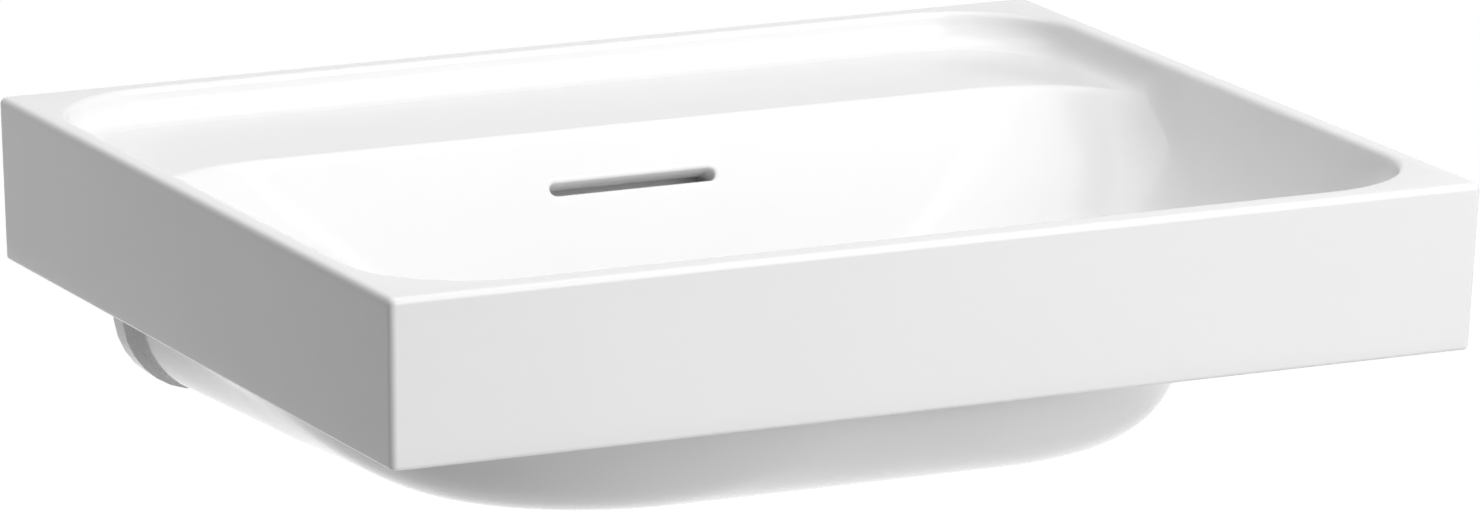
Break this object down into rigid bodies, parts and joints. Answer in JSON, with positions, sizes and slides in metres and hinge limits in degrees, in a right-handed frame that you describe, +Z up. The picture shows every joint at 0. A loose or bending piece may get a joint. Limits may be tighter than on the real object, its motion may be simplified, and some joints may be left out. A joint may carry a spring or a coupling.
{
  "type": "washbasin",
  "caption": "Rectangular white wall-hung washbasin with a tall apron, a thin rim, a recessed rear shelf, a slot overflow and a push-open waste.",
  "frame": {"origin": "on the wall, midway between the two fixing bolts, 70 mm under the rim", "axes": "+X to the right as the user stands before it, +Y into the wall, +Z up"},
  "size_m": [0.5498, 0.5348, 0.174],
  "materials": {
    "white_glaze": "glossy",
    "chrome": "polished",
    "black_rubber": "matte",
    "white_plastic": "satin",
    "brass": "satin",
    "zinc_steel": "satin"
  },
  "bodies": {
    "basin": {"ceramic_basin": "white_glaze", "waste_body": "chrome", "flange_gasket": "black_rubber", "cone_gasket": "black_rubber", "slip_washer": "white_plastic", "backnut": "brass", "cartridge_body": "brass", "cartridge_spring": "zinc_steel", "retaining_collar": "brass", "hanger_bolts": "zinc_steel", "fixing_bushes": "white_plastic", "fixing_washers": "zinc_steel", "fixing_nuts": "zinc_steel", "bolt_end_caps": "white_plastic"},
    "plug": {"plug_cap": "chrome", "plug_seal": "black_rubber", "stem_locknut": "brass", "plunger": "brass"},
    "cam": {"cam_rotor": "white_plastic"}
  },
  "joints": [
    {"name": "plug_slide", "type": "slide", "parent": "basin", "child": "plug", "axis": [0, 0, 1], "range_m": [-0.008, 0], "stiffness_N_per_m": 400, "springref_m": 0.012, "deforming": ["cartridge_spring"]},
    {"name": "cam_turn", "type": "hinge", "parent": "plug", "child": "cam", "pos_m": [0, -0.215, -0.057], "axis": [0, 0, 1], "range_deg": [-46, 1]}
  ],
  "couplings": [
    {"joint": "cam_turn", "follows": "plug_slide", "rad_per_m": 98.175}
  ]
}
